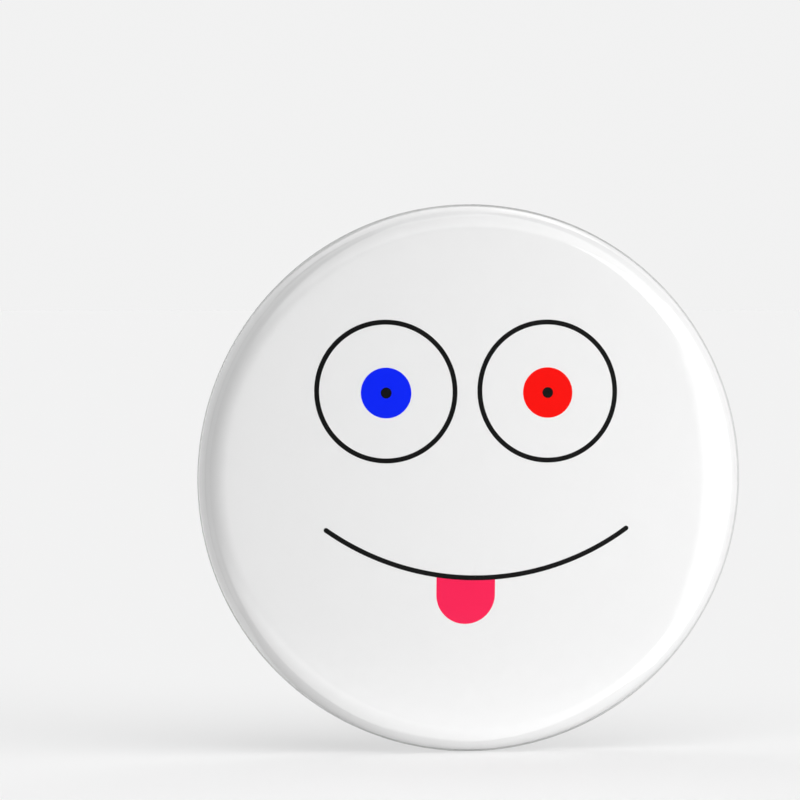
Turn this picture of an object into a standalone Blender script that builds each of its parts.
"""Button badge, 56 mm across: a domed steel shell wrapped in a printed paper disc and clear film,
crimped over a pressed back plate that carries a safety-pin wire.

Frame: the badge stands as it is worn. +X is to the right and +Z is up as seen from the front, and the
printed dome faces -Y. The origin is the centre of the back rim's plane, which lies against the cloth.
"Depth" is the distance in front of that plane, so a depth of d is at Y = -d.
"""
import math

import bmesh
import bpy
from mathutils import Quaternion, Vector

MM = 0.001

# Driving dimensions of the wrapped dome, measured on the outside of the clear film
BADGE_RADIUS = 28.0 * MM
BADGE_DEPTH = 6.0 * MM
DOME_RADIUS = 170.0 * MM
SHOULDER_RADIUS = 3.2 * MM
CURL_RADIUS = 0.60 * MM
CURL_FLAT = 0.20 * MM
CURL_END_DEPTH = 1.05 * MM

# The three wrapped sheets, from the outside in
FILM_THICKNESS = 0.10 * MM
PAPER_THICKNESS = 0.12 * MM
SHELL_THICKNESS = 0.25 * MM
LAYER_GAP = 0.04 * MM

# Back plate, measured on the face that is seen from behind
PLATE_THICKNESS = 0.25 * MM
DISC_RADIUS = 19.4 * MM
DISC_DEPTH = 2.30 * MM
STEP_RADIUS = 20.2 * MM
STEP_DEPTH = 1.50 * MM
BEAD_RADIUS = 0.70 * MM
BEAD_RING_RADIUS = 25.7 * MM
BEAD_CREST_DEPTH = 0.35 * MM
FLANGE_FILLET_RADIUS = 0.30 * MM
FLANGE_RADIUS = 27.10 * MM

# The two slots that the wire passes through
SLOT_CENTRE_X = 13.5 * MM
SLOT_CENTRE_Z = 7.3 * MM
SLOT_LENGTH = 6.2 * MM
SLOT_HEIGHT = 3.4 * MM
SLOT_CUTTER_DEPTH = 4.0 * MM
SLOT_SEGMENTS = 20

# Pin wire
WIRE_RADIUS = 0.42 * MM
CLEARANCE = 0.30 * MM
NEEDLE_Z = 6.7 * MM
NEEDLE_DEPTH_AT_CATCH = 1.15 * MM
NEEDLE_TIP_X = 13.2 * MM
NEEDLE_TAPER = 4.0 * MM
NEEDLE_TIP_RADIUS = 0.05 * MM
NEEDLE_ROOT_SETBACK = 0.15 * MM
ROOT_DOME_STEPS = 3

# Catch: a loop of two arms and a round end, its cut end tucked back along the slot
CATCH_INNER_X = 10.5 * MM
CATCH_OUTER_X = 14.0 * MM
CATCH_FOOT_INNER_X = 10.4 * MM
CATCH_FOOT_OUTER_X = 13.65 * MM
CATCH_ROOT_Z = 8.2 * MM
CATCH_BAR_Z = 8.42 * MM
CATCH_FOOT_Z = 3.8 * MM
CATCH_TOP_DEPTH = -0.15 * MM
CATCH_FOOT_DEPTH = 0.25 * MM
CATCH_CUT_END_X = 12.9 * MM
CATCH_BAR_BEND = 0.5 * MM
CATCH_SHOULDER_BEND = 1.1 * MM
CATCH_FOOT_BEND = 1.55 * MM
CATCH_ROOT_BEND = 0.75 * MM

# Coil that springs the needle
COIL_CENTRE_X = -13.5 * MM
COIL_RADIUS = 1.9 * MM
COIL_TURNS = 1.0
COIL_STEPS_PER_TURN = 20
HINGE_TURN_X = -15.75 * MM

# Fineness of the faceted model
TURN_STEPS = 48
DOME_SEGMENTS = 3
SHOULDER_SEGMENTS = 4
CURL_SEGMENTS = 2
BEAD_SEGMENTS = 6
FILLET_SEGMENTS = 2
BEND_SEGMENTS_PER_QUARTER = 5
WIRE_BEVEL_RESOLUTION = 2
MERGE_DISTANCE = 0.01 * MM
SHARP_ANGLE = math.radians(35)

# Values worked out from the driving dimensions
PAPER_INSET = FILM_THICKNESS + LAYER_GAP
SHELL_INSET = PAPER_INSET + PAPER_THICKNESS + LAYER_GAP
WIRE_ON_PLATE_DEPTH = DISC_DEPTH - CLEARANCE - WIRE_RADIUS
BACKBONE_DEPTH = DISC_DEPTH + PLATE_THICKNESS + CLEARANCE + WIRE_RADIUS
COIL_PITCH = 2 * WIRE_RADIUS + CLEARANCE
COIL_CENTRE_Z = NEEDLE_Z + COIL_RADIUS
PIVOT_DEPTH = WIRE_ON_PLATE_DEPTH - COIL_TURNS * COIL_PITCH
HINGE_TURN_BEND = (BACKBONE_DEPTH - WIRE_ON_PLATE_DEPTH) / 2 * 0.99

STEEL = (0.62, 0.62, 0.64)
PAPER_WHITE = (0.90, 0.90, 0.90)


def in_frame(x, depth, z):
    """A point in the badge's frame from its depth in front of the back rim's plane."""
    return Vector((x, -depth, z))


def arc_points(centre, radius, start, end, segments):
    """Points of an arc in the turning section, as (distance from the axis, depth)."""
    angles = [start + (end - start) * i / segments for i in range(segments + 1)]
    return [(centre[0] + radius * math.cos(a), centre[1] + radius * math.sin(a)) for a in angles]


def wrapped_path(inset):
    """Section of a surface that lies inset under the film's outside: crown, shoulder, side and curl."""
    dome_centre = BADGE_DEPTH - DOME_RADIUS
    shoulder_r = BADGE_RADIUS - SHOULDER_RADIUS
    reach = DOME_RADIUS - SHOULDER_RADIUS
    shoulder_depth = dome_centre + math.sqrt(reach ** 2 - shoulder_r ** 2)
    tangent = math.acos(shoulder_r / reach)
    quarter = math.pi / 2
    curl_r = BADGE_RADIUS - CURL_RADIUS
    curl_end_r = curl_r - CURL_FLAT
    dome = arc_points((0, dome_centre), DOME_RADIUS - inset, quarter, tangent, DOME_SEGMENTS)
    dome[0] = (0.0, dome[0][1])
    shoulder = arc_points((shoulder_r, shoulder_depth), SHOULDER_RADIUS - inset, tangent, 0, SHOULDER_SEGMENTS)
    curl = arc_points((curl_r, CURL_RADIUS), CURL_RADIUS - inset, 0, -quarter, CURL_SEGMENTS)
    curl += arc_points((curl_end_r, CURL_RADIUS), CURL_RADIUS - inset, -quarter, -math.pi, CURL_SEGMENTS)
    end = [(curl_end_r - CURL_RADIUS + inset, CURL_END_DEPTH)]
    return dome + shoulder[1:] + curl + end


def plate_path():
    """Section of the back plate's visible face, from the axis out to the edge of its flange."""
    bead_depth = BEAD_CREST_DEPTH + BEAD_RADIUS
    fillet_r = BEAD_RING_RADIUS + BEAD_RADIUS + FLANGE_FILLET_RADIUS
    flange_depth = bead_depth + FLANGE_FILLET_RADIUS
    bead = arc_points((BEAD_RING_RADIUS, bead_depth), BEAD_RADIUS, -math.pi, 0, BEAD_SEGMENTS)
    fillet = arc_points((fillet_r, bead_depth), FLANGE_FILLET_RADIUS, math.pi, math.pi / 2, FILLET_SEGMENTS)
    middle = [(0.0, DISC_DEPTH), (DISC_RADIUS, DISC_DEPTH), (STEP_RADIUS, STEP_DEPTH)]
    return middle + bead + fillet[1:] + [(FLANGE_RADIUS, flange_depth)]


def offset_path(path, distance):
    """The path moved to its left by distance, with mitred corners and its first point kept on the axis."""
    points = [Vector(p) for p in path]
    headings = [(b - a).normalized() for a, b in zip(points, points[1:])]
    before = [headings[0]] + headings
    after = headings + [headings[-1]]
    moved = []
    for point, first, second in zip(points, before, after):
        bisector = (first + second).normalized()
        left = Vector((-bisector.y, bisector.x))
        moved.append(point + left * distance / bisector.dot(first))
    moved[0].x = 0.0
    return [(p.x, p.y) for p in moved]


def make_material(name, colour, roughness, metallic):
    """A plain material with the piece's colour, roughness and metallic value."""
    material = bpy.data.materials.new(name)
    material.use_nodes = True
    shader = material.node_tree.nodes["Principled BSDF"]
    shader.inputs["Base Color"].default_value = (*colour, 1)
    shader.inputs["Roughness"].default_value = roughness
    shader.inputs["Metallic"].default_value = metallic
    return material


def add_object(name, data, collection, material=None):
    """A new object in its collection, with its material."""
    made = bpy.data.objects.new(name, data)
    collection.objects.link(made)
    if material:
        data.materials.append(material)
    return made


def turned_sheet(name, front_path, back_path, collection, material):
    """A sheet of revolution between two section paths, both from the axis outwards."""
    section = front_path + list(reversed(back_path))
    mesh = bpy.data.meshes.new(name)
    edges = [(i, i + 1) for i in range(len(section) - 1)]
    mesh.from_pydata([(r, 0, depth) for r, depth in section], edges, [])
    sheet = add_object(name, mesh, collection, material)
    sheet.rotation_euler.x = math.pi / 2
    turn = sheet.modifiers.new("turn", "SCREW")
    turn.steps = TURN_STEPS
    turn.render_steps = TURN_STEPS
    turn.use_merge_vertices = True
    turn.merge_threshold = MERGE_DISTANCE
    turn.use_smooth_shade = True
    return sheet


def wrapped_sheet(name, inset, thickness, collection, material):
    """One of the three sheets that are wrapped over the dome and curled in behind."""
    return turned_sheet(name, wrapped_path(inset), wrapped_path(inset + thickness), collection, material)


def slot_cutter(name, centre_x, collection):
    """A stadium-shaped bar, longer than the plate is thick: a drum pulled apart at its middle."""
    mesh = bpy.data.meshes.new(name)
    drum = bmesh.new()
    bmesh.ops.create_cone(drum, cap_ends=True, segments=SLOT_SEGMENTS, radius1=SLOT_HEIGHT / 2,
                          radius2=SLOT_HEIGHT / 2, depth=SLOT_CUTTER_DEPTH)
    half_step = Quaternion((0, 0, 1), math.pi / SLOT_SEGMENTS).to_matrix()
    bmesh.ops.rotate(drum, verts=drum.verts, cent=(0, 0, 0), matrix=half_step)
    for vertex in drum.verts:
        vertex.co.x += math.copysign((SLOT_LENGTH - SLOT_HEIGHT) / 2, vertex.co.x)
    drum.to_mesh(mesh)
    drum.free()
    cutter = add_object(name, mesh, collection)
    cutter.location = in_frame(centre_x, DISC_DEPTH, SLOT_CENTRE_Z)
    cutter.rotation_euler.x = math.pi / 2
    cutter.hide_render = True
    cutter.display_type = "WIRE"
    return cutter


def cut(piece, cutter):
    """Cuts one hole with the exact Boolean."""
    hole = piece.modifiers.new("cut_" + cutter.name, "BOOLEAN")
    hole.operation = "DIFFERENCE"
    hole.solver = "EXACT"
    hole.object = cutter


def bend_points(before, corner, after, radius):
    """The points of a round bend at a corner of a wire's route."""
    incoming = (corner - before).normalized()
    outgoing = (after - corner).normalized()
    turn = incoming.angle(outgoing)
    setback = radius * math.tan(turn / 2)
    start = corner - incoming * setback
    axis = incoming.cross(outgoing).normalized()
    centre = start + axis.cross(incoming) * radius
    steps = max(2, round(BEND_SEGMENTS_PER_QUARTER * turn / (math.pi / 2)))
    spoke = start - centre
    return [centre + Quaternion(axis, turn * i / steps) @ spoke for i in range(steps + 1)]


def bent_route(corners, radii):
    """A wire's centre line through its corners, with a bend of the given radius at each inner one."""
    route = [corners[0]]
    for before, corner, after, radius in zip(corners, corners[1:], corners[2:], radii):
        route += bend_points(before, corner, after, radius)
    return route + [corners[-1]]


def coil_route():
    """The coil's centre line: it starts at the coil's foot, heading +X, and climbs away from the plate."""
    steps = round(COIL_TURNS * COIL_STEPS_PER_TURN)
    route = []
    for i in range(steps + 1):
        angle = math.tau * COIL_TURNS * i / steps
        depth = WIRE_ON_PLATE_DEPTH - COIL_PITCH * COIL_TURNS * i / steps
        x = COIL_CENTRE_X + COIL_RADIUS * math.sin(angle)
        z = COIL_CENTRE_Z - COIL_RADIUS * math.cos(angle)
        route.append(in_frame(x, depth, z))
    return route


def catch_corners():
    """Corners of the wire from its tucked cut end, round the catch loop, to the backbone."""
    return [
        in_frame(CATCH_CUT_END_X, WIRE_ON_PLATE_DEPTH, CATCH_BAR_Z),
        in_frame(CATCH_INNER_X, WIRE_ON_PLATE_DEPTH, CATCH_BAR_Z),
        in_frame(CATCH_INNER_X, CATCH_TOP_DEPTH, CATCH_ROOT_Z),
        in_frame(CATCH_FOOT_INNER_X, CATCH_FOOT_DEPTH, CATCH_FOOT_Z),
        in_frame(CATCH_FOOT_OUTER_X, CATCH_FOOT_DEPTH, CATCH_FOOT_Z),
        in_frame(CATCH_OUTER_X, CATCH_TOP_DEPTH, CATCH_ROOT_Z),
        in_frame(CATCH_OUTER_X, BACKBONE_DEPTH, CATCH_ROOT_Z),
    ]


def pin_body_route():
    """Centre line of the fixed wire: catch, backbone behind the plate, turn through the slot, coil."""
    hinge_turn = [
        in_frame(HINGE_TURN_X, BACKBONE_DEPTH, NEEDLE_Z),
        in_frame(HINGE_TURN_X, WIRE_ON_PLATE_DEPTH, NEEDLE_Z),
    ]
    coil = coil_route()
    radii = [CATCH_BAR_BEND, CATCH_SHOULDER_BEND, CATCH_FOOT_BEND, CATCH_FOOT_BEND,
             CATCH_SHOULDER_BEND, CATCH_ROOT_BEND, HINGE_TURN_BEND, HINGE_TURN_BEND]
    return bent_route(catch_corners() + hinge_turn + [coil[0]], radii) + coil[1:]


def wire_object(name, route, radii, collection, material):
    """A round wire along a route, as a bevelled curve whose ends are capped."""
    curve = bpy.data.curves.new(name, "CURVE")
    curve.dimensions = "3D"
    curve.bevel_depth = WIRE_RADIUS
    curve.bevel_resolution = WIRE_BEVEL_RESOLUTION
    curve.use_fill_caps = True
    spline = curve.splines.new("POLY")
    spline.points.add(len(route) - 1)
    for point, place, radius in zip(spline.points, route, radii):
        point.co = (*place, 1)
        point.radius = radius / WIRE_RADIUS
    return add_object(name, curve, collection, material)


def needle_profile(length):
    """Distances along the needle with the wire's radius there: a domed root, a shaft and a ground point."""
    profile = []
    for i in range(ROOT_DOME_STEPS):
        angle = math.pi / 2 * (i + 0.5) / ROOT_DOME_STEPS
        along = NEEDLE_ROOT_SETBACK + WIRE_RADIUS * (1 - math.cos(angle))
        profile.append((along, WIRE_RADIUS * math.sin(angle)))
    profile.append((NEEDLE_ROOT_SETBACK + WIRE_RADIUS, WIRE_RADIUS))
    profile.append((length - NEEDLE_TAPER, WIRE_RADIUS))
    profile.append((length - NEEDLE_TAPER / 2, WIRE_RADIUS * 0.72))
    profile.append((length, NEEDLE_TIP_RADIUS))
    return profile


def make_needle(collection, material):
    """The moving needle. Its origin is the pivot, at the coil's end."""
    pivot = coil_route()[-1]
    catch_x = (CATCH_INNER_X + CATCH_OUTER_X) / 2
    heading = (in_frame(catch_x, NEEDLE_DEPTH_AT_CATCH, NEEDLE_Z) - pivot).normalized()
    length = (NEEDLE_TIP_X - pivot.x) / heading.x
    profile = needle_profile(length)
    route = [heading * along for along, _ in profile]
    needle = wire_object("pin_needle", route, [radius for _, radius in profile], collection, material)
    needle.location = pivot
    return needle


def make_pin_body(collection, material):
    """The fixed wire, which stops short of the pivot so that the needle can turn there."""
    route = pin_body_route()
    last_step = route[-1] - route[-2]
    route[-1] = route[-1] - last_step.normalized() * NEEDLE_ROOT_SETBACK
    return wire_object("pin_body", route, [WIRE_RADIUS] * len(route), collection, material)


def make_back_plate(parts, cutters, material):
    """The pressed back plate: flat disc, step, sloping ring, rolled bead and flange, with two slots."""
    back = plate_path()
    plate = turned_sheet("back_plate", offset_path(back, PLATE_THICKNESS), back, parts, material)
    cut(plate, slot_cutter("catch_slot", SLOT_CENTRE_X, cutters))
    cut(plate, slot_cutter("hinge_slot", -SLOT_CENTRE_X, cutters))
    return plate


def clear_scene():
    """Removes what a new file starts with."""
    for old in list(bpy.data.objects):
        bpy.data.objects.remove(old)


def new_collection(name):
    """A collection linked to the scene."""
    collection = bpy.data.collections.new(name)
    bpy.context.scene.collection.children.link(collection)
    return collection


def build_badge():
    """Makes every piece of the badge."""
    clear_scene()
    parts = new_collection("button_badge")
    cutters = new_collection("cutters")
    film = make_material("clear_film", PAPER_WHITE, 0.08, 0.0)
    paper = make_material("printed_paper", PAPER_WHITE, 0.55, 0.0)
    shell = make_material("tinplate", STEEL, 0.35, 1.0)
    plate = make_material("back_tinplate", STEEL, 0.25, 1.0)
    wire = make_material("nickel_wire", STEEL, 0.18, 1.0)
    wrapped_sheet("clear_film", 0.0, FILM_THICKNESS, parts, film)
    wrapped_sheet("printed_disc", PAPER_INSET, PAPER_THICKNESS, parts, paper)
    wrapped_sheet("front_shell", SHELL_INSET, SHELL_THICKNESS, parts, shell)
    make_back_plate(parts, cutters, plate)
    make_pin_body(parts, wire)
    make_needle(parts, wire)


build_badge()
